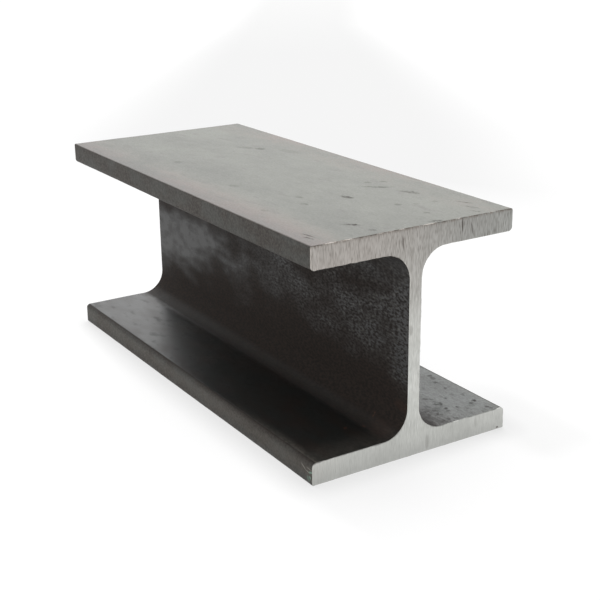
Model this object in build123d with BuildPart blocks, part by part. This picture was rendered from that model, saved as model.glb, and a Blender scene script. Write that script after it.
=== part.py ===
# Offcut of a hot-rolled wide-flange H-beam, sawn square at both ends.
#
# One rolled piece: two parallel flanges joined by a web, with a root fillet in each inner corner.
# Frame: +Z up, the beam runs along Y, and the origin is the centre of the face that it rests on.
# All sizes are in millimetres.

import os

from build123d import *

# Rolled section
section_height = 100.0  # over the outer faces of the two flanges
flange_width = 100.0
flange_thickness = 10.0
web_thickness = 6.0
root_radius = 12.0  # fillet between web and flange
toe_inner_radius = 2.0  # toe edge towards the web, rounded by the edging rolls
toe_outer_radius = 0.6  # toe edge of the outer face, left almost sharp

# Offcut
piece_length = 232.0  # from sawn end to sawn end

# The H-beam: its section stands on the XZ plane and is extruded both ways along Y
web_clear_height = section_height - 2 * flange_thickness
lower_flange_centre = flange_thickness / 2
upper_flange_centre = section_height - flange_thickness / 2

with BuildPart() as h_beam:
    with BuildSketch(Plane.XZ) as section:
        with Locations((0, lower_flange_centre), (0, upper_flange_centre)):
            Rectangle(flange_width, flange_thickness)
        with Locations((0, section_height / 2)):
            Rectangle(web_thickness, web_clear_height)

        # Columns of corners from left to right: left toes, both sides of the web, right toes
        left_toes, web_left, web_right, right_toes = section.vertices().group_by(Axis.X)
        toe_rows = (left_toes + right_toes).group_by(Axis.Y)
        outer_toe_edges = toe_rows[0] + toe_rows[-1]
        inner_toe_edges = toe_rows[1] + toe_rows[2]

        fillet(web_left + web_right, radius=root_radius)
        fillet(inner_toe_edges, radius=toe_inner_radius)
        fillet(outer_toe_edges, radius=toe_outer_radius)
    extrude(amount=piece_length / 2, both=True)

h_beam.part.label = "h_beam"

os.makedirs("parts", exist_ok=True)
export_step(h_beam.part, "parts/h_beam.step")

section_area = section.sketch.area
print("section area mm2:", round(section_area, 1))
print("solids:", len(h_beam.solids()), "volume mm3:", round(h_beam.part.volume))
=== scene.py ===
import math

import bpy
import numpy as np
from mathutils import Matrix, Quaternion, Vector
from mathutils.geometry import delaunay_2d_cdt


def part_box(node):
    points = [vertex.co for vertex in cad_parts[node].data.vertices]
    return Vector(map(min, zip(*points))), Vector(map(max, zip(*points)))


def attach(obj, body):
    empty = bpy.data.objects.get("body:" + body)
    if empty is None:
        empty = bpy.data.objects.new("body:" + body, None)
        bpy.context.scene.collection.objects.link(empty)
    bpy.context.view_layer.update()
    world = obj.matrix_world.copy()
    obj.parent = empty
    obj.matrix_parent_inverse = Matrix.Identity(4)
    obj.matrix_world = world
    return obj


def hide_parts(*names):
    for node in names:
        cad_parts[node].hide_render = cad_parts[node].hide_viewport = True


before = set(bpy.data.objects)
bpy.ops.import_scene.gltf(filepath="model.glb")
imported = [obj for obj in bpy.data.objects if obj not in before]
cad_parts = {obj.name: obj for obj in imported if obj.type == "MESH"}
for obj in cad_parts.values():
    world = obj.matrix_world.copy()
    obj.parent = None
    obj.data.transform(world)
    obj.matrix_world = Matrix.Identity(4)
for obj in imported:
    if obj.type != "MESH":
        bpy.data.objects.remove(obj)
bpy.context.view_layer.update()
scene = bpy.context.scene
mm = 0.001
smooth = {"interpolation_type": "SMOOTHSTEP"}  # a map range that eases in and out


# An sRGB hex colour as linear red, green, blue and alpha. A channel is ((c + 0.055) / 1.055) ** 2.4, and
# c / 12.92 where it is dark.
def linearColour(hexText):
    srgb = np.array([int(hexText[i : i + 2], 16) for i in (1, 3, 5)]) / 255
    linear = np.where(srgb <= 0.04045, srgb / 12.92, ((srgb + 0.055) / 1.055) ** 2.4)
    return (*linear.tolist(), 1.0)


# One node with its settings, and its inputs by name or number. A socket is linked, and a node by its
# first output in use. Hex text is a colour, and anything else is the input's value.
def addNode(tree, kind, inputs=None, **settings):
    node = tree.nodes.new("ShaderNode" + kind)
    for name, value in settings.items():
        setattr(node, name, value)
    for name, value in (inputs or {}).items():
        if isinstance(value, bpy.types.Node):
            value = next(output for output in value.outputs if output.enabled)
        if isinstance(value, bpy.types.NodeSocket):
            tree.links.new(value, node.inputs[name])
        else:
            node.inputs[name].default_value = linearColour(value) if isinstance(value, str) else value
    return node


# The inputs of a map range: a value from start to end becomes one from first to last, held beyond them.
def ramp(value, start, end, first=0.0, last=1.0):
    return {"Value": value, "From Min": start, "From Max": end, "To Min": first, "To Max": last}


# Shares by name. A row gives the source that is read and its ramp's start, end, first and last.
def addShares(tree, sources, rows, **settings):
    shares = {}
    for name, (source, *ends) in rows.items():
        shares[name] = addNode(tree, "MapRange", ramp(sources[source], *ends), **settings)
    return shares


# Noise patterns by name. A row gives the size in millimetres, the scales along x, y and z (below 1 they
# draw the pattern out), the detail, the roughness and the lean about y in degrees.
def addPatterns(tree, place, rows):
    patterns = {}
    for name, (size, scales, detail, roughness, lean) in rows.items():
        where = {"Vector": place, "Rotation": (0, math.radians(lean), 0), "Scale": scales}
        noise = {"Scale": 1000 / size, "Detail": detail, "Roughness": roughness}
        noise["Vector"] = addNode(tree, "Mapping", where)
        patterns[name] = addNode(tree, "TexNoise", noise)
    return patterns


# Layers over a base, one after the other, each by its own share: base * (1 - share) + layer * share.
# They are colours, or plain values where the type is FLOAT.
def layered(tree, base, layers, dataType="RGBA"):
    under, over = (6, 7) if dataType == "RGBA" else (2, 3)
    for share, layer in layers:
        base = addNode(tree, "Mix", {0: share, under: base, over: layer}, data_type=dataType)
    return base


# A material with an empty tree.
def emptyMaterial(name):
    material = bpy.data.materials.new(name)
    material.use_nodes = True
    material.node_tree.nodes.clear()
    return material, material.node_tree


# Ripples of about one size: the sum of cosines with random directions and wavelengths from 0.7 to 1.5
# times size, divided so that its spread is 1. stretch lengthens the ripples along x, y or z.
def ripples(points, size, seed, stretch=(1, 1, 1), count=40):
    random = np.random.default_rng(seed)
    heading = random.normal(size=(count, 3))
    heading /= np.linalg.norm(heading, axis=1)[:, None]
    waveNumber = 2 * np.pi / (size * random.uniform(0.7, 1.5, count))
    phase = random.uniform(0, 2 * np.pi, count)
    angle = (points / np.array(stretch)) @ (heading * waveNumber[:, None]).T + phase
    return np.cos(angle).sum(-1) * np.sqrt(2 / count)


# The camera stands where the photograph was taken from, in metres, and looks at aim.
camera = {
    "place": (-0.27513, -0.46975, 0.22455),
    "aim": (0.01024, -0.01159, 0.03724),
    "roll": -0.72,  # degrees
    "lens": 70.52,
    "sensor": 36.0,
    "clip": (0.01, 50),  # metres
}

cameraData = bpy.data.cameras.new("camera")
cameraData.lens = camera["lens"]
cameraData.sensor_width = camera["sensor"]
cameraData.clip_start, cameraData.clip_end = camera["clip"]
cameraObject = bpy.data.objects.new("camera", cameraData)
scene.collection.objects.link(cameraObject)
sight = Vector(camera["aim"]) - Vector(camera["place"])
roll = Quaternion((0, 0, 1), math.radians(camera["roll"]))
cameraObject.rotation_mode = "QUATERNION"
cameraObject.location = camera["place"]
cameraObject.rotation_quaternion = sight.to_track_quat("-Z", "Y") @ roll
scene.camera = cameraObject
print("camera set")

# The beam's surface, worked out in millimetres.
beam = {
    "flange": 10.0,
    "web": 6.0,
    "rootRadius": 12.0,
    "toeInnerRadius": 2.0,  # towards the web
    "toeOuterRadius": 0.6,
    "coreCells": 3,  # half the web
    "rootCells": 16,
    "flatCells": 29,
    "toeCells": 6,
    "edgeCells": 8,  # up a toe face
    "webCells": 48,
    "lengthCells": 143,
    "endRows": (0.0, 0.25, 0.8),  # from each sawn end
    "evenFrom": 1.6,  # where the even rows start
    "sawAcross": 0.36,  # spacing of a sawn face's points across the saw lines
    "sawAlong": 1.05,
    "sawClear": 0.22,  # from the sawn face's rim to its first points
    "arris": 0.20,  # bevel that the saw and a file leave
    "arrisSpread": 0.08,
    "arrisChatter": 0.05,
    "arrisLimits": (0.04, 0.5),
    "arrisSize": 4.0,  # how long the ripples of the bevel are
    "chatterSize": 1.9,
    "wave": 0.030,  # long waves from the rolls
    "waveSize": 38,
    "skin": 0.010,  # unevenness of the scale
    "skinSize": 6.5,
    "pitDepth": 0.09,
    "pitSize": 5.2,
    "pitLevel": 1.75,  # in spreads of the ripples
    "pitAreaSize": 60,
    "sawLean": 0.03,
    "sawRidge": 0.010,
    "sawRidgeSize": 1.5,
    "sawWave": 0.020,
    "sawWaveSize": 11,
    "sawBelow": 0.03,  # how far the sawn face's middle level lies under its plane
    "wornEdge": (50.0, 100.0, 0.9, 0.27),  # x, z, width and depth of an edge that handling wore rounder
}

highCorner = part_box("h_beam")[1]
halfWidth = highCorner.x / mm
height = highCorner.z / mm
halfLength = highCorner.y / mm

# Marks on the rolled skin, as the photograph shows them: x, y and z of the middle in millimetres, the
# length and width, the turn of the length from the x axis in degrees, how dark, and the depth. First
# those on the upper face.
skinMarks = [
    (3.6, -61.6, 100, 6.0, 2.4, -75, 0.78, 0.16),
    (24.6, -53.6, 100, 15.5, 1.8, -38, 0.34, 0.05),
    (26.2, -55.4, 100, 8.5, 2.2, -38, 0.44, 0.05),
    (31.0, -70.0, 100, 11.0, 2.2, -66, 0.42, 0.06),
    (31.6, -70.6, 100, 5.0, 3.0, -60, 0.50, 0.10),
    (24.2, 48.0, 100, 5.5, 3.6, -70, 0.44, 0.12),
    (19.6, 54.5, 100, 11.0, 3.6, -60, 0.22, 0.05),
    (33.0, 33.0, 100, 15.0, 4.5, -75, 0.13, 0.04),
    (-20.0, -99.4, 100, 10.0, 1.2, -45, 0.40, 0.05),
    (-20.5, -98.3, 100, 2.2, 1.6, -45, 0.70, 0.08),
    (-19.2, -100.2, 100, 2.6, 1.8, -50, 0.80, 0.10),
    (-42.5, -103.0, 100, 7.5, 0.9, -79, 0.80, 0.08),
    (-44.4, -105.9, 100, 5.5, 0.9, -77, 0.70, 0.06),
    (-17.6, -110.4, 100, 3.0, 1.8, -60, 0.50, 0.06),
    (-13.3, -49.9, 100, 4.4, 2.6, -80, 0.30, 0.05),
    (-18.0, -61.4, 100, 5.0, 2.4, -72, 0.32, 0.05),
    (-24.9, 43.8, 100, 4.6, 3.4, -80, 0.24, 0.04),
    (-26.7, -15.5, 100, 5.0, 3.0, -75, 0.22, 0.04),
    (-37.2, -60.7, 100, 4.0, 2.4, -75, 0.30, 0.04),
    (26.5, -44.8, 100, 3.6, 2.4, -50, 0.30, 0.03),
    (33.1, -47.5, 100, 3.6, 2.4, -50, 0.28, 0.03),
    (13.9, -84.5, 100, 3.2, 2.4, -50, 0.30, 0.05),
    (21.0, -87.8, 100, 3.0, 2.2, -50, 0.24, 0.04),
    (30.0, -89.1, 100, 3.0, 2.2, -50, 0.20, 0.04),
    (15.6, -101.6, 100, 3.0, 2.0, -50, 0.30, 0.04),
    (39.3, -97.0, 100, 8.0, 0.8, -62, 0.50, 0.03),
    (36.6, -104.5, 100, 9.0, 0.8, -70, 0.45, 0.03),
    (33.9, -111.5, 100, 5.0, 0.8, -66, 0.50, 0.03),
    (11.0, -113.8, 100, 6.5, 1.8, -15, 0.55, 0.06),
    # On the lower flange, to the right of the web
    (26.7, -97.6, 10, 2.2, 1.6, 70, 0.77, 0.06),
    (28.9, -98.3, 10, 2.4, 1.6, 60, 0.77, 0.06),
    (34.6, -95.0, 10, 2.2, 1.6, 40, 0.51, 0.05),
    (41.2, -86.2, 10, 2.4, 1.8, 60, 0.51, 0.05),
    (33.1, -105.1, 10, 2.2, 1.8, 80, 0.61, 0.06),
    (43.3, -96.0, 10, 3.3, 1.4, 85, 0.36, 0.04),
    (43.2, -103.8, 10, 2.6, 1.9, 30, 0.77, 0.08),
    (40.4, -105.1, 10, 2.0, 1.4, 80, 0.51, 0.05),
    (43.7, -112.1, 10, 2.3, 1.8, 40, 0.55, 0.06),
    (27.7, -103.5, 10, 2.4, 1.6, 20, 0.64, 0.05),
    (21.0, -105.9, 10, 2.4, 1.8, 70, 0.68, 0.05),
    (22.3, -107.4, 10, 1.9, 1.6, 70, 0.51, 0.05),
    (21.6, -102.5, 10, 2.0, 1.6, 30, 0.55, 0.05),
    (21.6, -112.7, 10, 2.0, 1.4, 60, 0.64, 0.05),
    (19.4, -112.3, 10, 2.0, 1.4, 60, 0.51, 0.05),
    (25.0, -113.6, 10, 3.2, 1.4, -70, 0.64, 0.05),
    (33.9, -112.9, 10, 1.9, 1.3, 60, 0.42, 0.04),
    (33.8, -92.1, 10, 1.9, 1.3, 60, 0.36, 0.04),
    (44.3, -70.5, 10, 2.6, 2.0, 60, 0.50, 0.05),
    (43.8, -73.6, 10, 3.0, 2.2, 60, 0.48, 0.05),
    (41.5, -78.5, 10, 2.4, 1.8, 60, 0.36, 0.04),
    (26.9, -91.0, 10, 6.0, 1.5, -42, 0.45, 0.04),
    (18.4, -101.4, 10, 3.0, 2.0, 60, 0.55, 0.05),
    (16.7, -105.1, 10, 2.6, 2.0, 60, 0.55, 0.05),
    (26.7, -106.1, 10, 2.2, 1.4, 60, 0.45, 0.04),
    (44.3, -114.0, 10, 2.2, 1.4, 60, 0.40, 0.04),
    (13.8, -112.5, 10, 9.0, 3.6, -60, 0.42, 0.03),
    (39.4, -92.9, 10, 2.4, 2.1, 60, 0.30, 0.04),
    (18.5, -107.0, 10, 22.0, 9.0, 90, 0.30, 0.02),
]

# Specks of red rust by the lower left root, and on the lower left toe rubs of green paint and scratches
# down to the metal. The rows are as above, without a depth.
rustSpecks = [
    (-6.0, -97.0, 12, 3.4, 1.6, 20, 0.45),
    (-20.4, -95.6, 10, 3.6, 1.8, 50, 0.45),
    (-13.0, -99.0, 10, 2.4, 1.2, 80, 0.35),
    (-11.0, -107.0, 12, 22.0, 14.0, 70, 0.09),
    (-3.0, -112.0, 22, 14.0, 9.0, 80, 0.08),
]
paintScratches = [
    (-50, -114.6, 5.6, 3.4, 1.0, -18, 0.85),
    (-50, -114.2, 3.2, 2.0, 1.1, 40, 0.80),
    (-50, -113.0, 2.4, 3.6, 2.4, 30, 0.30),
]
bareScratches = [
    (-50, -109.4, 6.2, 5.6, 0.55, 28, 0.75),
    (-50, -112.6, 5.2, 3.6, 0.55, 10, 0.80),
    (-50, -113.6, 6.8, 5.0, 0.45, 3, 0.60),
    (-50, -115.0, 2.2, 3.2, 0.50, 48, 0.60),
]

# Nicks in the near sawn edge: x and z in millimetres, their half width and depth.
edgeNicks = [
    (-42.6, 90, 0.7, 0.35),
    (-35.3, 90, 0.5, 0.22),
    (-32.1, 90, 0.6, 0.30),
    (-3.0, 63.0, 0.6, 0.20),
    (-3.0, 41.0, 0.5, 0.20),
    (12.0, 100, 1.6, 0.30),
    (23.1, 100, 0.6, 0.30),
    (46.6, 0, 0.7, 0.30),
    (-50.0, 7.2, 0.5, 0.28),
    (-48.8, 9.7, 0.6, 0.34),
    (-50.0, 3.0, 0.5, 0.20),
    (-50.0, 96.5, 0.5, 0.22),
    (-45.5, 100, 0.6, 0.25),
]


# The section from the middle to the right toe, as columns: x and z of the outer face, and of the inner
# face. Outer: flat, then z = r - sqrt(r^2 - (x - x0)^2) round the outer toe edge. Inner: the top of the
# root arc, the quarter circle down to the flange, flat, and the quarter circle of the toe.
def halfColumns():
    webHalf = beam["web"] / 2
    root = beam["rootRadius"]
    flange = beam["flange"]
    toeIn = beam["toeInnerRadius"]
    toeOut = beam["toeOuterRadius"]
    rootCells = beam["rootCells"]
    flatCells = beam["flatCells"]
    coreX = np.linspace(0, webHalf, beam["coreCells"] + 1)
    evenX = np.linspace(webHalf, halfWidth - toeIn, rootCells + flatCells + 1)
    toeTurn = np.linspace(0, np.pi / 2, beam["toeCells"] + 1)[1:]
    toeX = halfWidth - toeIn * (1 - np.sin(toeTurn))
    outerX = np.concatenate([coreX, evenX[1:], toeX])
    pastToe = np.clip(outerX - (halfWidth - toeOut), 0, toeOut)
    outerZ = toeOut - np.sqrt(toeOut**2 - pastToe**2)
    rootTurn = np.linspace(np.pi / 2, 0, rootCells + 1)[1:]
    rootX = webHalf + root * (1 - np.sin(rootTurn))
    rootZ = flange + root * (1 - np.cos(rootTurn))
    flatX = np.linspace(webHalf + root, halfWidth - toeIn, flatCells + 1)[1:]
    flatZ = np.full(len(flatX), flange)
    coreZ = np.full(len(coreX), flange + root)
    toeZ = flange - toeIn * (1 - np.cos(toeTurn))
    innerX = np.concatenate([coreX, rootX, flatX, toeX])
    innerZ = np.concatenate([coreZ, rootZ, flatZ, toeZ])
    return outerX, outerZ, innerX, innerZ


# A half mirrored about x = 0, so that it runs from the left toe to the right one.
def mirrored(x, z):
    return np.stack([np.concatenate([-x[:0:-1], x]), np.concatenate([z[:0:-1], z])], axis=1)


outerX, outerZ, innerX, innerZ = halfColumns()
lowerOuter = mirrored(outerX, outerZ)
lowerInner = mirrored(innerX, innerZ)
flip = np.array([1, -1])
mirror = np.array([-1, 1])
upperOuter = lowerOuter * flip + [0, height]
upperInner = lowerInner * flip + [0, height]
columns = len(lowerOuter)
coreLeft = columns // 2 - beam["coreCells"]  # the column on the web's left face
coreRight = columns // 2 + beam["coreCells"]
toeRise = np.linspace(0, 1, beam["edgeCells"] + 1)[1:-1, None]
lowerToe = lowerOuter[-1] + (lowerInner[-1] - lowerOuter[-1]) * toeRise
upperToe = lowerToe * flip + [0, height]
webRise = np.linspace(0, 1, beam["webCells"] + 1)[1:-1, None]
webRight = lowerInner[coreRight] + (upperInner[coreRight] - lowerInner[coreRight]) * webRise

# The closed outline, from the lower left toe round to the right and back.
outline = np.concatenate(
    [
        lowerOuter,
        lowerToe,
        lowerInner[: coreRight - 1 : -1],
        webRight,
        upperInner[coreRight:],
        upperToe[::-1],
        upperOuter[::-1],
        upperToe * mirror,
        upperInner[: coreLeft + 1],
        (webRight * mirror)[::-1],
        lowerInner[coreLeft::-1],
        (lowerToe * mirror)[::-1],
    ]
)
around = len(outline)

# The outline's outward side: its direction turned by a right angle, (dz, -dx).
step = np.roll(outline, -1, axis=0) - np.roll(outline, 1, axis=0)
outward = np.stack([step[:, 1], -step[:, 0]], axis=1)
outward /= np.linalg.norm(outward, axis=1)[:, None]

# Rows from one sawn end to the other, closer together at the ends.
endRows = np.array(beam["endRows"])
evenEnd = halfLength - beam["evenFrom"]
evenRows = np.linspace(-evenEnd, evenEnd, beam["lengthCells"] + 1)
rows = np.concatenate([-halfLength + endRows, evenRows, (halfLength - endRows)[::-1]])
print("outline of", around, "points and", len(rows), "rows")


# How far the rolled surface stands off the true one: long waves and the unevenness of the scale, each sunk
# by about its spread, less the pits where their ripples pass a level, deeper in some areas, less each mark
# as depth * exp(-(a / length)^2 - (b / width)^2). The rolls leave nothing proud.
def rolledRelief(points):
    wave = beam["wave"] * (ripples(points, beam["waveSize"], seed=11, stretch=(1, 2.6, 1)) - 1.2)
    skin = beam["skin"] * (ripples(points, beam["skinSize"], seed=12, stretch=(1, 1.5, 1)) - 1)
    pitField = ripples(points, beam["pitSize"], seed=13, stretch=(1, 1.25, 1))
    pitArea = np.clip(ripples(points, beam["pitAreaSize"], seed=14) * 0.5 + 0.5, 0.15, 1)
    pits = beam["pitDepth"] * np.clip(pitField - beam["pitLevel"], 0, 1) * pitArea
    depths = wave + skin - pits
    for x, y, z, length, width, turn, _, depth in skinMarks:
        cosine = math.cos(math.radians(turn))
        sine = math.sin(math.radians(turn))
        onFace = np.clip(1 - np.abs(points[..., 2] - z), 0, 1)
        across = points[..., 0] - x
        along = points[..., 1] - y
        a = (across * cosine + along * sine) / (length / 2)
        b = (along * cosine - across * sine) / (width / 2)
        depths -= depth * np.exp(-(a**2) - b**2) * onFace
    return np.minimum(depths, 0)


# How far the sawn face stands off its plane: ridges along z from the blade's teeth, and the slower waves
# of its feed, both as sums of cosines in x, which lean with z as the blade does and hardly change along
# it.
def sawnRelief(x, z, seed):
    leaning = x - beam["sawLean"] * (z - height / 2)
    lean = np.stack([leaning, np.zeros_like(x), z * 0.02], axis=-1)
    ridge = beam["sawRidge"] * ripples(lean, beam["sawRidgeSize"], seed, count=60)
    feed = beam["sawWave"] * ripples(lean, beam["sawWaveSize"], seed + 1)
    return np.minimum(ridge + feed - beam["sawBelow"], 0)


# The rolled faces: the outline carried along y, each point moved along its outward side by the relief.
# The ripples of an arris are read 300 mm apart, so that the two ends differ.
grid = np.empty((len(rows), around, 3))
grid[..., 0] = outline[:, 0]
grid[..., 1] = rows[:, None]
grid[..., 2] = outline[:, 1]
relief = rolledRelief(grid.reshape(-1, 3)).reshape(len(rows), around)
for end in (0, -1):
    ringPlace = np.stack([outline[:, 0], np.full(around, float(end) * 300), outline[:, 1]], axis=1)
    bevel = beam["arris"] + beam["arrisSpread"] * ripples(ringPlace, beam["arrisSize"], seed=21)
    bevel += beam["arrisChatter"] * ripples(ringPlace, beam["chatterSize"], seed=22)
    relief[end] -= np.clip(bevel, *beam["arrisLimits"])
for nickX, nickZ, nickWidth, nickDepth in edgeNicks:
    away = np.hypot(outline[:, 0] - nickX, outline[:, 1] - nickZ)
    relief[0] -= nickDepth * np.exp(-((away / nickWidth) ** 2))
wornX, wornZ, wornWidth, wornDepth = beam["wornEdge"]
away = np.hypot(outline[:, 0] - wornX, outline[:, 1] - wornZ)
relief -= wornDepth * np.exp(-((away / wornWidth) ** 2))
grid[..., 0] += outward[:, 0] * relief
grid[..., 2] += outward[:, 1] * relief


# The inside of a sawn face: a lattice of points, closer across the saw lines than along them. One stays
# where |x| < web / 2 or its depth from the nearer outer face is less than the inner face's, and where it
# is clear of the ring and on the inner side of its nearest edge: edge x (point - start) > 0.
def sawnLattice(ring):
    x = np.arange(-halfWidth, halfWidth, beam["sawAcross"])
    z = np.arange(0, height, beam["sawAlong"])
    x, z = [a.ravel() for a in np.meshgrid(x, z)]
    core = beam["coreCells"]
    innerDepth = np.interp(np.abs(x), innerX[core:], innerZ[core:])
    inside = (np.abs(x) < beam["web"] / 2) | (np.minimum(z, height - z) < innerDepth)
    points = np.stack([x[inside], z[inside]], axis=1)
    edge = np.roll(ring, -1, axis=0) - ring
    fromStart = points[:, None] - ring
    share = (fromStart * edge).sum(-1) / (edge**2).sum(-1)
    gap = fromStart - edge * np.clip(share, 0, 1)[..., None]
    distance = np.hypot(gap[..., 0], gap[..., 1])
    nearest = distance.argmin(axis=1)
    start = fromStart[np.arange(len(points)), nearest]
    inward = edge[nearest, 0] * start[:, 1] - edge[nearest, 1] * start[:, 0]
    return points[(distance.min(axis=1) > beam["sawClear"]) & (inward > 0)]


# Both sawn faces: the end ring and the lattice, joined into triangles that turn outwards.
ringEdges = [(i, (i + 1) % around) for i in range(around)]
allPoints = []
sawFaces = []
total = len(rows) * around
for end, side, seed in ((0, -1, 31), (len(rows) - 1, 1, 41)):
    ring = grid[end][:, [0, 2]]
    lattice = sawnLattice(ring)
    flat = np.concatenate([ring, lattice])
    joined = delaunay_2d_cdt([Vector(p) for p in flat], ringEdges, [], 1, 1e-7)
    index = np.concatenate([end * around + np.arange(around), total + np.arange(len(lattice))])
    triangles = index[np.array(joined[2])]
    sawFaces.append(triangles if side < 0 else triangles[:, ::-1])
    depth = side * (halfLength + sawnRelief(flat[:, 0], flat[:, 1], seed))
    grid[end][:, 1] = depth[:around]
    allPoints.append(np.stack([lattice[:, 0], depth[around:], lattice[:, 1]], axis=1))
    total += len(lattice)
vertices = np.concatenate([grid.reshape(-1, 3)] + allPoints) * mm

# The rolled faces' quads, along the rows and then along the outline, so that they turn outwards.
index = np.arange(len(rows) * around).reshape(len(rows), around)
nextColumn = np.roll(index, -1, axis=1)
sideQuads = np.stack([index[:-1], index[1:], nextColumn[1:], nextColumn[:-1]], -1).reshape(-1, 4)
isBevel = np.zeros((len(rows) - 1, around), bool)
isBevel[[0, -1]] = True

faceList = [sideQuads] + sawFaces
corners = np.concatenate([f.ravel() for f in faceList])
sizes = np.concatenate([np.full(len(f), f.shape[1]) for f in faceList])
isSawn = np.concatenate([isBevel.ravel()] + [np.ones(len(f), bool) for f in sawFaces])

mesh = bpy.data.meshes.new("h_beam_rolled")
mesh.vertices.add(len(vertices))
mesh.vertices.foreach_set("co", vertices.ravel())
mesh.loops.add(len(corners))
mesh.loops.foreach_set("vertex_index", corners)
mesh.polygons.add(len(sizes))
mesh.polygons.foreach_set("loop_start", np.concatenate([[0], np.cumsum(sizes)[:-1]]))
mesh.polygons.foreach_set("material_index", isSawn.astype(int))
mesh.polygons.foreach_set("use_smooth", np.ones(len(sizes), bool))
mesh.update(calc_edges=True)

# The edges on both sides of the bevel are sharp: those between neighbours of the first two and last two
# rows.
edges = np.empty(len(mesh.edges) * 2, int)
mesh.edges.foreach_get("vertices", edges)
low, high = edges.reshape(-1, 2).min(axis=1), edges.reshape(-1, 2).max(axis=1)
sameRow = (low // around == high // around) & np.isin(high - low, (1, around - 1))
sharp = sameRow & np.isin(low // around, (0, 1, len(rows) - 2, len(rows) - 1))
mesh.attributes.new("sharp_edge", "BOOLEAN", "EDGE").data.foreach_set("value", sharp)

# Zones of the rolled skin: outerFace is 1 on the two outer faces, toeFace 1 on the four toe faces and
# flangeFace 1 on the flanges' inner faces, and each fades as the outward side turns away. flangeFace
# drops to 0.34 at the foot of the root and is gone halfway up its arc, where the rolls rub less.
onToe = np.clip((np.abs(outline[:, 0]) - halfWidth + beam["toeInnerRadius"]) / 0.5, 0, 1)
onOuter = np.clip(2 - np.minimum(outline[:, 1], height - outline[:, 1]), 0, 1)
upright = np.abs(outward[:, 1])
upTheRoot = 0.34 * np.clip(upright * 8 - 5.8, 0, 1) + 0.66 * np.clip(upright * 66 - 65, 0, 1)
zones = {
    "outerFace": onOuter * upright,
    "toeFace": onToe * np.abs(outward[:, 0]),
    "flangeFace": (1 - onOuter) * (1 - onToe) * upTheRoot,
}
fields = {name: np.tile(value, (len(rows), 1)) for name, value in zones.items()}

# upperArris is 1 along the sawn faces' top edge.
fields["upperArris"] = np.zeros((len(rows), around))
fields["upperArris"][[0, 1, -2, -1]] = outline[:, 1] > height - 1
for name, rolled in fields.items():
    field = np.zeros(len(vertices))
    field[: rolled.size] = rolled.ravel()
    mesh.attributes.new(name, "FLOAT", "POINT").data.foreach_set("value", field)

beamPiece = bpy.data.objects.new("h_beam_rolled", mesh)
scene.collection.objects.link(beamPiece)
print("beam mesh:", len(vertices), "points,", int((sizes - 2).sum()), "triangles")


# Marks as a soft-edged field: each is an ellipsoid round its middle, turned about the axis that faces
# it, with half sizes from its length and width. The field is its dark value there and falls to 0 at the
# rim by 1 - (distance in the ellipsoid's own units), smoothed. The whole field is the greatest of them
# all.
def markField(tree, place, marks, axis, halfSizes):
    field = None
    for x, y, z, length, width, turn, dark, *depth in marks:
        ellipsoid = {
            "Vector": place,
            "Location": [value * mm for value in (x, y, z)],
            "Rotation": [math.radians(turn) * value for value in axis],
            "Scale": [value * mm for value in halfSizes(length, width)],
        }
        ball = addNode(tree, "Mapping", ellipsoid, vector_type="TEXTURE")
        away = addNode(tree, "VectorMath", {0: ball}, operation="LENGTH")
        shade = addNode(tree, "MapRange", ramp(away, 1.0, 0.45, last=dark), **smooth)
        if field is not None:
            shade = addNode(tree, "Math", {0: field, 1: shade}, operation="MAXIMUM")
        field = shade
    return field


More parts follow.
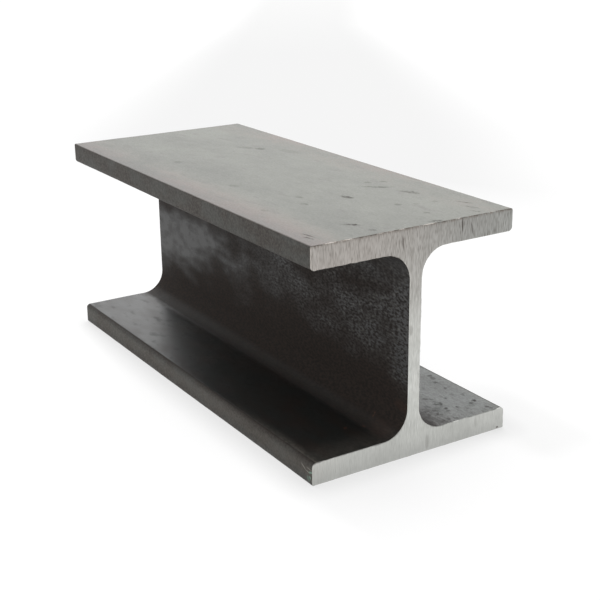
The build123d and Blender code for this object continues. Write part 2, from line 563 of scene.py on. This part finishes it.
# Hot-rolled mill scale: the black iron oxide that grows on the bar at rolling heat and that the rolls
# press on. It gives the eye a dark matt skin, blue-grey where it is sound and brown where it has flaked,
# that turns pale at a shallow angle. Magnetite's IOR is 2.4, but the thin dusty film mirrors less, so it
# is matched lower.
millScale = {
    "ior": 1.5,
    "flaked": ("#170e08", "#271b12"),  # the web's faces, where the scale has come off and browned
    "sound": "#3d3d3d",  # sound grey scale
    "grit": "#5a5955",  # grains of scale that stand up
    "flange": "#202221",  # the flanges' inner faces
    "flangeWarm": "#241c18",
    "spot": "#120f0d",
    "rubbed": "#5c5852",  # beside the toes and the saw cut
    "cool": "#656d68",  # the lower flange right of the web
    "worn": ("#45473a", "#67695d"),  # outer faces, rubbed by handling
    "pale": "#8b8c80",  # where the right side is rubbed more
    "warm": "#735a50",  # bloom of red oxide along the flange edges
    "fleck": "#3a2f29",
    "toe": ("#302a25", "#443e36"),
    "toeCool": "#4d504d",
    "toeBand": "#5c574e",  # the middle of the lower toes
    "mark": "#2a1f1b",
    "rust": "#684534",
    "bare": "#9a968e",
    "paint": "#86a595",
    # The rolls draw the patterns out along y, and edging rolls draw the toes' grain out along z. The real
    # grain is near 0.1 mm, drawn as coarse as it has to be to show.
    "patterns": {
        "cloud": (26.0, (1, 0.38, 1), 3.0, 0.5, 0.0),
        "speckle": (0.95, (1, 0.50, 1), 2.0, 0.5, 0.0),
        "blotch": (9.0, (1, 0.50, 1), 3.0, 0.5, 0.0),
        "spots": (4.0, (1, 0.50, 1), 3.0, 0.5, 0.0),
        "flecks": (3.6, (1, 0.30, 1), 3.0, 0.5, 0.0),
        "grain": (0.9, (1, 1, 1), 2.0, 0.5, 0.0),
        "toeGrain": (0.8, (1, 1, 0.9), 3.0, 0.5, 0.0),
    },
    "gritPattern": (1.7, (1, 0.50, 1)),
    # What the shares below are read from, besides the patterns and x, y and z: metres from a plane.
    "distances": {
        "fromMiddle": ("X", 0.0),
        "fromBand": ("Z", 0.062),  # the height on the web that kept most sound scale
        "fromToeBand": ("Z", 0.0055),  # the middle of the lower toes
    },
    # Shares that change evenly: the source, from and to (places in metres or levels of a pattern), and the
    # share at each. First the web, which keeps more sound scale towards the far end and above the root,
    # and less just below the upper flange, where the darker scale is painted shade.
    "shares": {
        "farEnd": ("Y", 0.0, 0.10, 0.0, 0.26),
        "aboveRoot": ("Z", 0.018, 0.048, 0.05, 1.0),
        # painted shade: the web darkens just below the upper flange
        "shadeBelowFlange": ("Z", 0.061, 0.054, 0.15, 1.0),
        "nearWeb": ("fromMiddle", 0.030, 0.020, 0.0, 1.0),
        "flaked": ("speckle", 0.38, 0.62, 0.0, 1.0),
        "farSpots": ("Y", -0.03, 0.05, 0.0, 0.8),  # how far the coarser spots take the speckle's place
        "swing": ("Y", -0.06, 0.06, 1.75, 0.5),  # how strongly they break up the sound scale
        "calmTop": ("Z", 0.070, 0.084, 1.0, 0.35),
        "gritEnd": ("Y", -0.02, -0.08, 0.0, 1.0),
        "nearRoot": ("fromMiddle", 0.050, 0.014, -0.05, 0.06),  # the flanges: more spots towards the root
        "spotLevel": ("X", -0.01, 0.01, 0.25, 0.34),
        "warm": ("blotch", 0.42, 0.66, 0.0, 0.8),
        "nearEnd": ("Y", -0.04, -0.10, 0.0, 1.0),
        "mottled": ("speckle", 0.36, 0.64, 0.5, 1.4),
        "onRight": ("X", 0.014, 0.028, 0.0, 0.50),
        "rightward": ("X", -0.02, 0.045, 0.0, 0.30),  # the outer faces
        "nearward": ("Y", 0.10, -0.10, 0.3, 1.0),
        "toe": ("toeGrain", 0.34, 0.68, 0.0, 1.0),
        "toeCool": ("blotch", 0.43, 0.60, 0.0, 0.45),
        "toeBand": ("fromToeBand", 0.0035, 0.001, 0.0, 0.3),
        "broken": ("speckle", 0.62, 0.46, 0.45, 1.0),  # how the speckle breaks up the marks
        "outerRough": ("grain", 0.35, 0.65, 0.32, 0.42),
    },
    # The same, easing in and out
    "easedShares": {
        "inBand": ("fromBand", 0.015, 0.046, 0.38, 0.12),
        "nearCut": ("Y", -0.098, -0.114, 0.0, 1.0),
        "byEdge": ("fromMiddle", 0.0435, 0.0495, 0.0, 1.0),
        "towardsEdge": ("fromMiddle", 0.026, 0.050, 0.0, 1.0),
        "leftEdge": ("X", -0.037, -0.050, 0.0, 0.62),
        "fleck": ("flecks", 0.57, 0.72, 0.0, 0.38),
    },
    "soundWeights": {"nearCut": 0.10, "cloud": 0.40, "blotch": 0.45},
    "soundLevel": (0.65, 1.07, 0.03, 1.0),  # the sums between which the scale turns sound
    "speckleLevel": (0.38, 0.66, -0.5, 0.5),
    "gritChosen": (0.30, 0.60),  # of each cell's own random value
    "gritEdge": (0.50, 0.22, 0.0, 0.90),
    "gritPatch": (0.04, 0.34),  # grit stands only where the scale is sound
    "spotEdge": (0.54, 0.70),
    "cutShare": 0.35,  # how far the skin by the saw cut is rubbed
    "wornWeight": 0.4,  # of each finer pattern, on top of the cloud
    "wornLevel": (1.05, 1.55),
    "bloomLevel": (1.15, 1.48, 0.0, 0.8),
    "markShift": 0.0022,  # metres by which the speckle roughens the outline of a mark
    "webRoughness": (0.90, 0.46),  # flaked, sound
    "flangeRoughness": (0.38, 0.72),
    "mottleRoughness": 0.07,
    "toeRoughness": (0.70, 0.52),
    "markRoughness": 0.8,
    "reliefDepth": 0.05,
    "reliefStrength": 0.6,
    "speckleRelief": 0.8,
}

scaleMaterial, tree = emptyMaterial("hotRolledMillScale")
place = addNode(tree, "TexCoord").outputs["Object"]
outerFace, toeFace, flangeFace = [
    addNode(tree, "Attribute", attribute_name=name).outputs["Fac"] for name in zones
]
axes = addNode(tree, "SeparateXYZ", {0: place}).outputs
skin = addPatterns(tree, place, millScale["patterns"])
skin.update(X=axes["X"], Y=axes["Y"], Z=axes["Z"])
for name, (axis, middle) in millScale["distances"].items():
    offset = addNode(tree, "Math", {0: axes[axis], 1: middle}, operation="SUBTRACT")
    skin[name] = addNode(tree, "Math", {0: offset}, operation="ABSOLUTE")
share = addShares(tree, skin, millScale["shares"])
share.update(addShares(tree, skin, millScale["easedShares"], **smooth))

# The web: what favours sound scale is added up, and where the sum passes a soft level the scale is
# sound. The speckle breaks it up, less so towards the far end and below the upper flange.
farEnd = share["farEnd"]
# Just below the upper flange the far end's share is cut, so the web is darker there: painted shade from
# the flange.
for factor in ("aboveRoot", "shadeBelowFlange"):
    farEnd = addNode(tree, "Math", {0: farEnd, 1: share[factor]}, operation="MULTIPLY")
favour = addNode(tree, "Math", {0: share["inBand"], 1: farEnd}, operation="ADD")
for name, weight in millScale["soundWeights"].items():
    source = share[name] if name in share else skin[name]
    favour = addNode(tree, "Math", {0: source, 1: weight, 2: favour}, operation="MULTIPLY_ADD")
patch = addNode(tree, "MapRange", ramp(favour, *millScale["soundLevel"]), **smooth)
specks = layered(tree, skin["speckle"], [(share["farSpots"], skin["spots"])], "FLOAT")
specks = addNode(tree, "MapRange", ramp(specks, *millScale["speckleLevel"]))
swing = addNode(tree, "Math", {0: share["swing"], 1: share["calmTop"]}, operation="MULTIPLY")
speckled = addNode(tree, "Math", {0: specks, 1: swing, 2: 1.0}, operation="MULTIPLY_ADD")
sound = addNode(tree, "Math", {0: patch, 1: speckled}, operation="MULTIPLY", use_clamp=True)
sound = addNode(tree, "Math", {0: sound, 1: share["nearWeb"]}, operation="MULTIPLY")

# Grit is the middle of a cell, where the cell's random value is high enough and the scale is sound.
gritSize, gritScales = millScale["gritPattern"]
gritPlace = addNode(tree, "Mapping", {"Vector": place, "Scale": gritScales})
cells = addNode(tree, "TexVoronoi", {"Vector": gritPlace, "Scale": 1000 / gritSize}).outputs
cellValue = addNode(tree, "SeparateXYZ", {0: cells["Color"]}).outputs["X"]
grit = addNode(tree, "MapRange", ramp(cells["Distance"], *millScale["gritEdge"]), **smooth)
chosen = addNode(tree, "MapRange", ramp(cellValue, *millScale["gritChosen"]))
inPatch = addNode(tree, "MapRange", ramp(patch, *millScale["gritPatch"]))
for factor in (chosen, share["gritEnd"], share["calmTop"], inPatch):
    grit = addNode(tree, "Math", {0: grit, 1: factor}, operation="MULTIPLY")
flaked, browned = millScale["flaked"]
webLayers = [(share["flaked"], browned), (sound, millScale["sound"]), (grit, millScale["grit"])]
webColour = layered(tree, flaked, webLayers)

# The flanges' inner faces: warm blotches, dark spots, and paler where they are rubbed beside the toes
# and the cut.
spotted = addNode(tree, "Math", {0: skin["spots"], 1: share["nearRoot"]}, operation="ADD")
spotRamp = ramp(spotted, *millScale["spotEdge"], last=share["spotLevel"])
spotShare = addNode(tree, "MapRange", spotRamp, **smooth)
rubbed = addNode(tree, "Math", {0: share["byEdge"], 1: share["nearEnd"]}, operation="MULTIPLY")
byCut = addNode(tree, "Math", {0: share["nearCut"], 1: millScale["cutShare"]}, operation="MULTIPLY")
rubbed = addNode(tree, "Math", {0: rubbed, 1: byCut}, operation="MAXIMUM")
rubbed = addNode(tree, "Math", {0: rubbed, 1: share["mottled"]}, operation="MULTIPLY")
onRight = addNode(tree, "Math", {0: share["onRight"], 1: share["mottled"]}, operation="MULTIPLY")
flangeLayers = [
    (share["warm"], millScale["flangeWarm"]),
    (spotShare, millScale["spot"]),
    (rubbed, millScale["rubbed"]),
    (onRight, millScale["cool"]),
]
flangeColour = layered(tree, millScale["flange"], flangeLayers)

# The outer faces: two worn greys, the warm bloom that grows towards the long edges, and the flecks.
worn = skin["cloud"]
for name in ("grain", "speckle", "spots", "blotch"):
    worn = addNode(
        tree, "Math", {0: skin[name], 1: millScale["wornWeight"], 2: worn}, operation="MULTIPLY_ADD"
    )
wornShare = addNode(tree, "MapRange", ramp(worn, *millScale["wornLevel"]))
paleShare = addNode(tree, "Math", {0: share["rightward"], 1: share["nearward"]}, operation="MULTIPLY")
bloomPatch = addNode(tree, "MapRange", ramp(worn, *millScale["bloomLevel"]))
bloom = addNode(tree, "Math", {0: share["towardsEdge"], 1: bloomPatch}, operation="MULTIPLY")
wornDark, wornLight = millScale["worn"]
outerLayers = [
    (wornShare, wornLight),
    (paleShare, millScale["pale"]),
    (bloom, millScale["warm"]),
    (share["leftEdge"], millScale["fleck"]),
    (share["fleck"], millScale["fleck"]),
]
outerColour = layered(tree, wornDark, outerLayers)

# The toes: fine streaks across them.
toeDark, toeLight = millScale["toe"]
toeLayers = [
    (share["toe"], toeLight),
    (share["toeCool"], millScale["toeCool"]),
    (share["toeBand"], millScale["toeBand"]),
]
toeColour = layered(tree, toeDark, toeLayers)

# The marks lie over all of it. Each kind has its place, its rows, the axis that faces it and the half
# sizes of its soft ellipsoids. The speckle roughens the outlines of the dark marks and the rust.
shift = millScale["markShift"]
shifting = {0: skin["speckle"].outputs["Color"], 1: (shift,) * 3, 2: (-shift / 2,) * 3}
speckleShift = addNode(tree, "VectorMath", shifting, operation="MULTIPLY_ADD")
roughPlace = addNode(tree, "VectorMath", {0: place, 1: speckleShift}, operation="ADD")
markKinds = {
    "mark": (roughPlace, skinMarks, (0, 0, 1), lambda length, width: (length * 0.65, width * 0.75, 2.5)),
    "rust": (roughPlace, rustSpecks, (0, 0, 1), lambda length, width: (length / 2, width / 2, 3.0)),
    "bare": (place, bareScratches, (1, 0, 0), lambda length, width: (3.0, length / 2, width * 0.7)),
    "paint": (place, paintScratches, (1, 0, 0), lambda length, width: (3.0, length / 2, width * 0.6)),
}
markFields = {name: markField(tree, *kind) for name, kind in markKinds.items()}
brokenMarks = {0: markFields["mark"], 1: share["broken"]}
markFields["mark"] = addNode(tree, "Math", brokenMarks, operation="MULTIPLY")
bodyLayers = [(flangeFace, flangeColour), (outerFace, outerColour), (toeFace, toeColour)]
markLayers = [(field, millScale[name]) for name, field in markFields.items()]
scaleColour = layered(tree, webColour, bodyLayers + markLayers)

# Roughness follows the same zones.
webRough = addNode(tree, "MapRange", ramp(sound, 0.0, 1.0, *millScale["webRoughness"]))
flangeRough = addNode(tree, "MapRange", ramp(spotShare, 0.0, 1.0, *millScale["flangeRoughness"]))
mottle = {0: share["warm"], 1: millScale["mottleRoughness"], 2: flangeRough}
flangeRough = addNode(tree, "Math", mottle, operation="MULTIPLY_ADD")
toeRough = addNode(tree, "MapRange", ramp(share["toe"], 0.0, 1.0, *millScale["toeRoughness"]))
roughLayers = [
    (flangeFace, flangeRough),
    (outerFace, share["outerRough"]),
    (toeFace, toeRough),
    (markFields["mark"], millScale["markRoughness"]),
]
rough = layered(tree, webRough, roughLayers, "FLOAT")

uneven = {0: skin["speckle"], 1: millScale["speckleRelief"], 2: skin["grain"]}
skinBump = {
    "Height": addNode(tree, "Math", uneven, operation="MULTIPLY_ADD"),
    "Strength": millScale["reliefStrength"],
    "Distance": millScale["reliefDepth"] * mm,
}
bump = addNode(tree, "Bump", skinBump)
skinInputs = {"Base Color": scaleColour, "Roughness": rough, "IOR": millScale["ior"], "Normal": bump}
shader = addNode(tree, "BsdfPrincipled", skinInputs)
addNode(tree, "OutputMaterial", {"Surface": shader})

# Band-sawn mild steel: bare metal that the blade's teeth leave in fine lines along z. It gives the eye a
# bright silver face, streaked across the lines.
sawnSteel = {
    "metal": ("#a1a29d", "#dadbd7"),  # in the lines' grooves, on their crests
    "paintedDim": "#a4a5a2",  # painted darker reflection
    # a painted brighter reflection, in a band across the middle height
    "paintedBrightBand": "#f0f1ec",
    "groove": "#857e78",
    "warm": "#d0bab0",
    "arris": "#948a81",
    "mark": "#4a3f38",
    "patterns": {
        "lines": (0.7, (1, 1, 0.035), 3.0, 0.6, 1.7),
        "fineLines": (0.34, (1, 1, 0.10), 1.0, 0.5, 1.7),
        "cloud": (12.0, (1, 1, 1), 3.0, 0.5, 0.0),
    },
    "lineWeights": {"lines": 0.65, "fineLines": 1.15},
    "crest": (0.52, 1.24),
    "calm": 0.58,  # what the crests come to on the calm lower part
    "paintedBandHeight": 0.042,  # metres, the middle of the painted bright band
    # As for the mill scale: the source, from and to, and the share at each
    "shares": {
        "calmLow": ("Z", 0.030, 0.010, 0.0, 0.5),
        "warm": ("upperLeft", 0.04, 0.12, 0.0, 0.28),
        "low": ("Z", 0.010, 0.002, 0.0, 0.42),  # the lower edge's painted darker reflection
        "high": ("Z", 0.080, 0.091, 0.0, 0.50),
        "right": ("X", 0.0, 0.028, 0.0, 0.7),
        "rightTip": ("X", 0.027, 0.043, 1.0, 0.55),
        "groove": ("fineLines", 0.48, 0.32, 0.0, 1.0),
        "rightMost": ("X", -0.03, 0.02, 0.85, 1.0),
        "patchy": ("lines", 0.42, 0.56, 0.15, 0.85),  # along the upper arris
        "rough": ("cloud", 0.35, 0.65, 0.30, 0.46),
    },
    # the band of the painted brighter reflection
    "easedShares": {"paintedBrightBand": ("fromBand", 0.030, 0.017, 0.0, 0.30)},
    "reliefDepth": 0.06,
    "reliefStrength": 0.5,
}

# Marks in the sawn face, in the same rows as the specks
sawMarks = [
    (-6.9, -116, 94.4, 6.5, 0.5, -85, 0.75),
    (23.0, -116, 96.8, 7.0, 0.6, -87, 0.80),
    (28.2, -116, 94.5, 6.0, 0.7, -77, 0.50),
    (7.6, -116, 4.2, 7.5, 1.8, -90, 0.22),
    (34.0, -116, 6.8, 5.0, 1.2, -88, 0.16),
    (-2.1, -116, 56.6, 5.0, 1.7, -89, 0.24),
    (-1.5, -116, 76.0, 9.0, 1.3, -89, 0.13),
    (46.6, -116, 1.0, 1.4, 0.8, 0, 0.75),
    (-40.0, -116, 95.5, 7.0, 0.5, -87, 0.16),
    (-28.0, -116, 95.0, 8.0, 0.5, -86, 0.18),
]

sawnMaterial, tree = emptyMaterial("bandSawnSteel")
place = addNode(tree, "TexCoord").outputs["Object"]
upperArris = addNode(tree, "Attribute", attribute_name="upperArris").outputs["Fac"]
axes = addNode(tree, "SeparateXYZ", {0: place}).outputs
steel = addPatterns(tree, place, sawnSteel["patterns"])
steel.update(X=axes["X"], Z=axes["Z"])
steel["upperLeft"] = addNode(tree, "Math", {0: axes["Z"], 1: axes["X"]}, operation="SUBTRACT")
offset = addNode(tree, "Math", {0: axes["Z"], 1: sawnSteel["paintedBandHeight"]}, operation="SUBTRACT")
steel["fromBand"] = addNode(tree, "Math", {0: offset}, operation="ABSOLUTE")
share = addShares(tree, steel, sawnSteel["shares"])
share.update(addShares(tree, steel, sawnSteel["easedShares"], **smooth))

# The crests of the lines are brighter, and calmer low down. The upper right and the lower edge get a
# painted darker reflection.
weights = sawnSteel["lineWeights"]
longLines = addNode(tree, "Math", {0: steel["lines"], 1: weights["lines"]}, operation="MULTIPLY")
allLines = {0: steel["fineLines"], 1: weights["fineLines"], 2: longLines}
both = addNode(tree, "Math", allLines, operation="MULTIPLY_ADD")
crest = addNode(tree, "MapRange", ramp(both, *sawnSteel["crest"]))
crest = layered(tree, crest, [(share["calmLow"], sawnSteel["calm"])], "FLOAT")
right = addNode(tree, "Math", {0: share["right"], 1: share["rightTip"]}, operation="MULTIPLY")
# painted darker reflection on the upper right and the lower edge
paintedDimShare = addNode(tree, "Math", {0: share["high"], 1: right, 2: share["low"]}, operation="MULTIPLY_ADD")
groove = share["groove"]
for factor in ("high", "rightMost"):
    groove = addNode(tree, "Math", {0: groove, 1: share[factor]}, operation="MULTIPLY")
burnt = addNode(tree, "Math", {0: upperArris, 1: share["patchy"]}, operation="MULTIPLY")
sawMarkField = markField(
    tree, place, sawMarks, (0, -1, 0), lambda length, width: (length * 0.6, 3.0, width * 0.75)
)
grooveMetal, crestMetal = sawnSteel["metal"]
steelLayers = [
    (crest, crestMetal),
    (share["warm"], sawnSteel["warm"]),
    (share["paintedBrightBand"], sawnSteel["paintedBrightBand"]),
    (paintedDimShare, sawnSteel["paintedDim"]),
    # the painted brighter reflection across the middle height
    (groove, sawnSteel["groove"]),
    (sawMarkField, sawnSteel["mark"]),
    (burnt, sawnSteel["arris"]),
]
steelColour = layered(tree, grooveMetal, steelLayers)
lineBump = {
    "Height": both,
    "Strength": sawnSteel["reliefStrength"],
    "Distance": sawnSteel["reliefDepth"] * mm,
}
bump = addNode(tree, "Bump", lineBump)
steelInputs = {"Base Color": steelColour, "Metallic": 1.0, "Roughness": share["rough"], "Normal": bump}
shader = addNode(tree, "BsdfPrincipled", steelInputs)
addNode(tree, "OutputMaterial", {"Surface": shader})
mesh.materials.append(scaleMaterial)
mesh.materials.append(sawnMaterial)
print("materials made")

# The studio: a pale paper floor, soft light from all round and a wide key light from behind on the right.
# Mirror-like surfaces see the same white, which dims overhead and towards the front right, where the room
# is darker; on the paper floor that dimming is painted, as are the shades next to the beam.
studio = {
    "floorSide": 12.0,  # metres
    "paper": "#e6e6e4",
    "seenPaper": 0.37,  # of the floor's white that the camera sees, the share that takes the shadow
    "seenGlow": 0.71,
    "mirrorPaper": 0.25,  # the same in mirror-like surfaces
    "mirrorGlow": 0.79,
    "fill": 0.58,
    "key": 1.65,
    "keySpread": 70,  # degrees
    "keyFrom": (0.45, 0.75, 1.1),
    # Where the white dims for mirror-like surfaces: from and to, and what is left of it at each
    "darkSide": (0.47, -0.88, 0.0),  # the way to the dark side
    "skyShares": {
        "topDim": ("upward", 0.35, 0.95, 1.0, 0.55),
        "frontDim": ("frontward", 0.0, 0.8, 1.0, 0.42),
    },
    # painted on the paper: a pool of light that falls off towards the front right, as mirror-like surfaces
    # see it
    "floorDim": (0.215, 0.60, 1.0, 0.44),
    # A faint painted shade on the floor behind the beam: a band along one way, which starts on a slant by
    # another
    "paintedShadeBehind": 0.15,
    "shadeBehindEdge": (1.0, 0.4),  # of its half width
    "shadeBehindAlong": (0.565, 0.825, 0.0),
    "shadeBehindStart": (0.978, 0.543, 0.0),
    # The painted shade's middle, half width and strength along it, and the other painted shades and lift
    # of the floor
    "floorShares": {
        "middle": ("along", 0.6, 1.6, -0.015, -0.055),
        "half": ("along", 0.6, 1.6, 0.305, 0.165),
        "far": ("along", 1.2, 2.2, 1.0, 0.65),
        "behind": ("behind", 0.29, 0.46, 0.0, 1.0),
        "contact": ("aside", 0.002, 0.013, 0.925, 1.0),  # painted shade right by the beam
        "leftLift": ("X", -0.052, -0.066, 1.0, 1.085),  # painted light, where the floor brightens on the left
    },
    # A short painted shade by the near right corner, the product of these
    "cornerShares": {
        "start": ("X", 0.036, 0.052, 0.0, 0.068),
        "end": ("X", 0.070, 0.090, 1.0, 0.0),
        "near": ("Y", -0.060, -0.095, 0.0, 1.0),
        "front": ("Y", -0.138, -0.165, 1.0, 0.0),
    },
}


# What a ray is for: 1 where a mirror-like surface sends it, and 1 where the camera or such a surface
# sees by it.
def rayKinds(tree):
    path = addNode(tree, "LightPath").outputs
    mirrorRays = {0: path["Is Glossy Ray"], 1: path["Is Transmission Ray"]}
    inMirror = addNode(tree, "Math", mirrorRays, operation="MAXIMUM")
    seen = addNode(tree, "Math", {0: inMirror, 1: path["Is Camera Ray"]}, operation="MAXIMUM")
    return inMirror, seen


world = bpy.data.worlds.new("studio")
scene.world = world
world.use_nodes = True
tree = world.node_tree
tree.nodes.clear()
inMirror, seen = rayKinds(tree)
direction = addNode(tree, "TexCoord").outputs["Generated"]
toDark = {0: direction, 1: studio["darkSide"]}
sky = {
    "upward": addNode(tree, "SeparateXYZ", {0: direction}).outputs["Z"],
    "frontward": addNode(tree, "VectorMath", toDark, operation="DOT_PRODUCT"),
}
share = addShares(tree, sky, studio["skyShares"], **smooth)
mirroredWhite = addNode(tree, "Math", {0: share["topDim"], 1: share["frontDim"]}, operation="MULTIPLY")
seenWhite = layered(tree, 1.0, [(inMirror, mirroredWhite)], "FLOAT")
strength = layered(tree, studio["fill"], [(seen, seenWhite)], "FLOAT")
background = addNode(tree, "Background", {"Color": (1, 1, 1, 1), "Strength": strength})
addNode(tree, "OutputWorld", {"Surface": background})

half = studio["floorSide"] / 2
floorMesh = bpy.data.meshes.new("floor")
floorCorners = [(-half, -half, 0), (half, -half, 0), (half, half, 0), (-half, half, 0)]
floorMesh.from_pydata(floorCorners, [], [(0, 1, 2, 3)])
floor = bpy.data.objects.new("floor", floorMesh)
scene.collection.objects.link(floor)

# Matt white paper: it gives the eye an even ground without a shine.
floorMaterial, tree = emptyMaterial("mattPaper")
inMirror, seen = rayKinds(tree)
place = addNode(tree, "TexCoord").outputs["Object"]
axes = addNode(tree, "SeparateXYZ", {0: place}).outputs

# How far aside of the beam's footprint a place is: the length of (|x| - half width, |y| - half length),
# each at least 0.
aside = addNode(tree, "VectorMath", {0: place}, operation="ABSOLUTE")
footprint = (highCorner.x, highCorner.y, 0.0)
aside = addNode(tree, "VectorMath", {0: aside, 1: footprint}, operation="SUBTRACT")
aside = addNode(tree, "VectorMath", {0: aside, 1: (0.0, 0.0, 0.0)}, operation="MAXIMUM")
ground = {
    "X": axes["X"],
    "Y": axes["Y"],
    "aside": addNode(tree, "VectorMath", {0: aside}, operation="LENGTH"),
}
shadeBehindAlong = Vector(studio["shadeBehindAlong"])
ways = {
    "frontward": studio["darkSide"],
    "along": shadeBehindAlong,
    "across": shadeBehindAlong.cross(Vector((0, 0, 1))),
    "behind": studio["shadeBehindStart"],
}
for name, way in ways.items():
    ground[name] = addNode(tree, "VectorMath", {0: place, 1: way}, operation="DOT_PRODUCT")
share = addShares(tree, ground, studio["floorShares"])
nearCorner = addShares(tree, ground, studio["cornerShares"], **smooth)

# The painted shade behind the beam, by the share |across - middle| / half width, then the painted shade
# right by the beam, which a painted lift ends sooner on the left, and the painted shade by the near right
# corner.
fromShadeBehind = addNode(tree, "Math", {0: ground["across"], 1: share["middle"]}, operation="SUBTRACT")
fromShadeBehind = addNode(tree, "Math", {0: fromShadeBehind}, operation="ABSOLUTE")
fromShadeBehind = addNode(tree, "Math", {0: fromShadeBehind, 1: share["half"]}, operation="DIVIDE")
# painted shade behind the beam
paintedShadeBehind = addNode(tree, "MapRange", ramp(fromShadeBehind, *studio["shadeBehindEdge"], last=studio["paintedShadeBehind"]), **smooth)
for name in ("far", "behind"):
    paintedShadeBehind = addNode(tree, "Math", {0: paintedShadeBehind, 1: share[name]}, operation="MULTIPLY")
lit = addNode(tree, "Math", {0: 1.0, 1: paintedShadeBehind}, operation="SUBTRACT")
cornerShade = nearCorner["start"]
for name in ("end", "near", "front"):
    cornerShade = addNode(tree, "Math", {0: cornerShade, 1: nearCorner[name]}, operation="MULTIPLY")
cornerLit = addNode(tree, "Math", {0: 1.0, 1: cornerShade}, operation="SUBTRACT")
# painted shade right by the beam, painted lift on the left and painted shade by the corner
for factor in (share["contact"], share["leftLift"], cornerLit):
    lit = addNode(tree, "Math", {0: lit, 1: factor}, operation="MULTIPLY")

# The camera and mirror-like surfaces see white paper that glows in part, so that only the rest of it takes
# shadows. Every other ray sees plain paper.
# Mirror-like surfaces see the paper dimmed towards the front right instead of the shades above: a painted
# pool of light.
floorDim = addNode(tree, "MapRange", ramp(ground["frontward"], *studio["floorDim"]))
lit = layered(tree, lit, [(inMirror, floorDim)], "FLOAT")
glow = layered(tree, studio["seenGlow"], [(inMirror, studio["mirrorGlow"])], "FLOAT")
white = layered(tree, studio["seenPaper"], [(inMirror, studio["mirrorPaper"])], "FLOAT")
glow = addNode(tree, "Math", {0: lit, 1: glow}, operation="MULTIPLY")
white = addNode(tree, "Math", {0: lit, 1: white}, operation="MULTIPLY")
glow = addNode(tree, "Math", {0: seen, 1: glow}, operation="MULTIPLY")
paper = addNode(tree, "BsdfDiffuse", {"Color": layered(tree, studio["paper"], [(seen, white)])})
emission = addNode(tree, "Emission", {"Color": (1, 1, 1, 1), "Strength": glow})
floorShader = addNode(tree, "AddShader", {0: paper, 1: emission})
addNode(tree, "OutputMaterial", {"Surface": floorShader})
floorMesh.materials.append(floorMaterial)

keyData = bpy.data.lights.new("softKey", "SUN")
keyData.energy = studio["key"]
keyData.angle = math.radians(studio["keySpread"])
key = bpy.data.objects.new("softKey", keyData)
key.rotation_mode = "QUATERNION"
key.rotation_quaternion = Vector(studio["keyFrom"]).to_track_quat("Z", "Y")
scene.collection.objects.link(key)

scene.view_settings.view_transform = "Standard"
print("studio set")

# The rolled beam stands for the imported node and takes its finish.
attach(beamPiece, "root")
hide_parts("h_beam")
